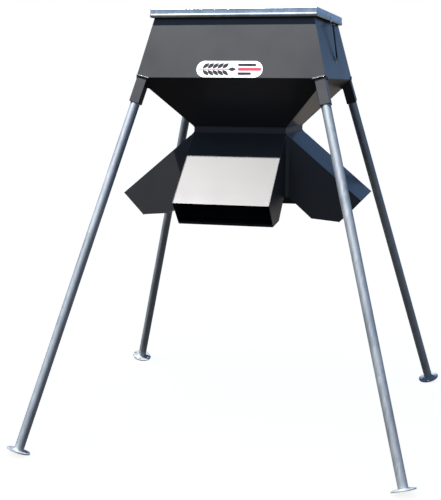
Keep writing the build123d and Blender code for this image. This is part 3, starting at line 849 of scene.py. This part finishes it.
rubber = make_rubber()
strap_half_width = 0.008
strap_waist = 0.0016
strap_half_thickness = 0.003
strap_thinning = 0.0004
strap_corner = 0.0012
corner_steps = 3
sections = 48
rib_height = 0.0005
rib_count = 6
ribs_from, ribs_length = 0.62, 0.3  # shares of the strap's length, from its foot
eye_radius = 0.0046
eye_bore = 0.00205
eye_chamfer = 0.0008
barrel_radius = 0.006
barrel_half = 0.020
barrel_steps = 12
barrel_taper = 0.0009
barrel_round = 0.0026
round_from = 0.8  # share of the half length at which an end starts to round off
barrel_body = 0.985  # share of the half length up to the pointed cap
for side in strapped_sides:
    side_name = SIDES[side]
    turn = turned(side)
    across = turn @ Vector((0, 1, 0))
    foot = Vector(strap_joints[f"{side_name}_strap"]["pos_m"])
    strap_low, strap_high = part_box(f"strap_{side_name}")
    barrel_out = min(abs(strap_low.x), abs(strap_high.x)) + barrel_radius
    head = turn @ Vector((barrel_out, 0, strap_high.z - barrel_radius))
    up = (head - foot).normalized()
    out = across.cross(up)
    shape = bmesh.new()
    rings = []
    for i in range(sections + 1):
        share = i / sections
        wide = strap_half_width - strap_waist * sin(pi * share) ** 2
        thick = strap_half_thickness - strap_thinning * sin(pi * share)
        along_ribs = (share - ribs_from) / ribs_length
        rib = rib_height * max(0.0, sin(2 * pi * rib_count * along_ribs)) if 0 < along_ribs < 1 else 0.0
        ring = []
        for quarter in range(4):
            for step in range(corner_steps + 1):
                angle = pi / 2 * (quarter + step / corner_steps)
                a = (1 if quarter in (0, 3) else -1) * (wide - strap_corner) + strap_corner * cos(angle)
                b = (1 if quarter in (0, 1) else -1) * (thick - strap_corner) + strap_corner * sin(angle)
                if b > 0:
                    b += rib
                ring.append(foot + (head - foot) * share + across * a + out * b)
        rings.append(ring)
    skin(shape, rings)
    lying = across.to_track_quat("Z", "Y").to_matrix().to_4x4()
    half = strap_half_width
    inner, flat = eye_radius - eye_chamfer, half - eye_chamfer
    lathe(shape, [
        (eye_bore, -half), (inner, -half), (eye_radius, -flat), (eye_radius, flat),
        (inner, half), (eye_bore, half), (eye_bore, -half),
    ], Matrix.Translation(foot) @ lying)
    outline = [(0, -barrel_half)]
    for i in range(barrel_steps + 1):
        share = i / barrel_steps * 2 - 1
        past = max(0, abs(share) - round_from) / (1 - round_from)
        radius = barrel_radius - barrel_taper * share ** 2 - barrel_round * past
        outline.append((radius, barrel_half * share * barrel_body))
    outline.append((0, barrel_half))
    lathe(shape, outline, Matrix.Translation(head) @ lying)
    add_piece(
        f"draw_strap_{side_name}", shape, rubber, f"{side_name}_strap", [f"strap_{side_name}"]
    )


# ---------------------------------------------------------------- flow gates, studs and wing nuts
# Each gate is held by a wing nut on a carriage bolt through its baffle. Bolts and nuts are zinc plated:
# the threads are rolled, and the nuts are cold forged with a tapered hub and two swept wings.
def threaded(shape, radius, pitch, start, end, place, around=20, per_turn=8):
    """A rolled thread along local Z: its radius rises and falls once a pitch, and turns as it climbs."""
    depth = 0.55 * pitch
    point = 0.25 * radius
    count = round((end - start) / pitch * per_turn)
    rings = []
    for i in range(count + 1):
        height = start + (end - start) * i / count
        near_end = max(0.0, 1 - (end - height) / pitch)
        ring = []
        for step in range(around):
            phase = (height / pitch - step / around) % 1
            r = radius - depth * abs(2 * phase - 1) - point * near_end
            angle = 2 * pi * step / around
            ring.append(place @ Vector((r * cos(angle), r * sin(angle), height)))
        rings.append(ring)
    skin(shape, rings)


for side_name in SIDES:
    nodes[f"{side_name}_flow_gate"].data.materials[0] = zinc
nut_joints = {joint["child"]: joint for joint in frame["joints"] if joint.get("continuous")}
baffle_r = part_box("right_gate_baffle")[0].x
stud_radius = 0.003
stud_pitch = 0.001
stud_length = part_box("gate_studs")[1].x - baffle_r
stud_head = [(0, -0.003), (0.0035, -0.0029), (0.0052, -0.0022), (0.006, -0.001), (0.006, 0), (0, 0)]
nut_bore, nut_top = 0.00305, 0.0078
hub = [
    (nut_bore, 0), (0.0070, 0), (0.0072, 0.0008), (0.0068, 0.0022), (0.0054, 0.0066), (0.0046, nut_top),
    (nut_bore, nut_top), (nut_bore, 0),
]
wing_thickness = 0.0024
wing_layers = ((-0.5, 0.86), (-0.32, 1.0), (0.32, 1.0), (0.5, 0.86))  # share of thickness, size there
wing_middle = Vector((0.0095, 0.0075))
wing_outline = [
    (0.0035, 0.0012), (0.0085, 0.0022), (0.0130, 0.0055), (0.0150, 0.0098), (0.0142, 0.0132),
    (0.0118, 0.0140), (0.0098, 0.0120), (0.0076, 0.0086), (0.0035, 0.0068),
]
stud_shape = bmesh.new()
for side in range(4):
    side_name = SIDES[side]
    outward = outward_of(side)
    seat = Vector(nut_joints[f"{side_name}_nut"]["pos_m"])
    seat += outward * (baffle_r - seat.dot(outward))
    place = Matrix.Translation(seat) @ turned(side) @ Matrix.Rotation(pi / 2, 4, "Y")
    lathe(stud_shape, stud_head, place)
    threaded(stud_shape, stud_radius, stud_pitch, 0, stud_length, place)
    nut_low, nut_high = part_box(f"{side_name}_wing_nut")
    face = min(abs(nut_low.dot(outward)), abs(nut_high.dot(outward)))
    nut_place = place @ Matrix.Translation((0, 0, face - baffle_r))
    nut = bmesh.new()
    lathe(nut, hub, nut_place)
    for way in (-1, 1):
        rings = []
        for offset, shrink in wing_layers:
            ring = []
            for point in wing_outline:
                aside, height = wing_middle + (Vector(point) - wing_middle) * shrink
                ring.append(nut_place @ Vector((offset * wing_thickness, way * aside, height)))
            rings.append(ring)
        skin(nut, rings)
    add_piece(
        f"{side_name}_forged_wing_nut", nut, zinc, f"{side_name}_nut",
        [f"{side_name}_wing_nut"],
    )
add_piece("threaded_studs", stud_shape, zinc, "frame", ["gate_studs"])


# ---------------------------------------------------------------- legs, set bolts and foot discs
# Galvanised steel tube, pushed up into square sockets and held by a set bolt through a welded nut.
# The foot discs are thick plate, welded on and dipped, with four holes for ground anchors.
dull_tube = make_galvanised(
    "galvanised_tube_drawn", 0.009, (1, 1, 0.12), ("#91969a", "#9ba0a4", "#a6abaf"), (0.52, 0.58), 0.2
)
dull_plate = make_galvanised(
    "galvanised_plate_dipped", 0.009, (1, 1, 1), ("#8d9296", "#9aa0a4", "#a9afb3"), (0.48, 0.58), 0.5
)
leg_radius = 0.02065
disc_plate = 0.0048
foot_bead, foot_ripple, foot_points = 0.0028, 0.0036, 40
set_bolt_down = 0.070
set_bolt_radius = 0.004
set_bolt_pitch = 0.00125
nut_flats = 0.013
nut_height = 0.0065
head_height = 0.0055
chamfer = 0.12  # height of a hexagon's chamfer, as a share of its width across flats
rim_share = 0.97  # width of the circle at its outer end, as such a share
rear = Vector((0, 1, 0))


def hexagon(shape, bottom, top, steps=24):
    """A hexagon prism about Z whose outer end is chamfered to a circle."""
    rings = []
    for height, share in ((bottom, 0), (top - chamfer * nut_flats, 0), (top, 1)):
        ring = []
        for step in range(steps):
            angle = 2 * pi * step / steps
            hex_radius = nut_flats / 2 / cos((angle % (pi / 3)) - pi / 6)
            r = hex_radius * (1 - share) + min(nut_flats / 2 * rim_share, hex_radius) * share
            ring.append(Vector((r * cos(angle), r * sin(angle), height)))
        rings.append(ring)
    skin(shape, rings)


bolt_shape, nut_shape = bmesh.new(), bmesh.new()
hexagon(nut_shape, -nut_height / 2, nut_height)
shank = nut_height + set_bolt_radius
bolt_end = leg_radius - socket_half
threaded(bolt_shape, set_bolt_radius, set_bolt_pitch, bolt_end, shank, Matrix.Identity(4), around=24)
hexagon(bolt_shape, shank, shank + head_height)
bolt_places, foot_lines = [], []
for corner, corner_name in enumerate(CORNERS):
    nodes[f"{corner_name}_leg"].data.materials[0] = dull_tube
    nodes[f"{corner_name}_foot_disc"].data.materials[0] = dull_plate
    top, axis = leg_top[corner], leg_axis[corner]
    diagonal = Vector((axis.x, axis.y, 0)).normalized()
    square_x = diagonal * -axis.z + UP * Vector((axis.x, axis.y)).length
    square_y = axis.cross(square_x)
    faces = [(square_x * a + square_y * b) / sqrt(2) for a in (-1, 1) for b in (-1, 1)]
    face = max(faces, key=lambda normal: normal.dot(rear))
    bolt_places.append((top + axis * set_bolt_down + face * socket_half, face))
    ring_middle = leg_foot[corner] - axis * disc_plate
    turns = [2 * pi * i / foot_points for i in range(foot_points)]
    foot_lines.append([ring_middle + (square_x * cos(a) + square_y * sin(a)) * leg_radius for a in turns])
grow("set_bolts_threaded", fasteners, fastener_keys, facing_points(bolt_places),
     {"Shape": pattern("set_bolt", bolt_shape), "Size": 1.0, "Finish": zinc},
     "frame", smooth=False, stands_for=["leg_set_bolts"])
grow("set_nuts_welded", fasteners, fastener_keys, facing_points(bolt_places),
     {"Shape": pattern("set_nut", nut_shape), "Size": 1.0, "Finish": zinc},
     "frame", smooth=False, stands_for=["leg_set_nuts"])
grow("foot_welds", rippled_seam, rippled_keys, seam_lines(foot_lines, closed=True),
     {"Radius": foot_bead, "Ripple": foot_ripple, "Finish": dull_plate}, "frame")
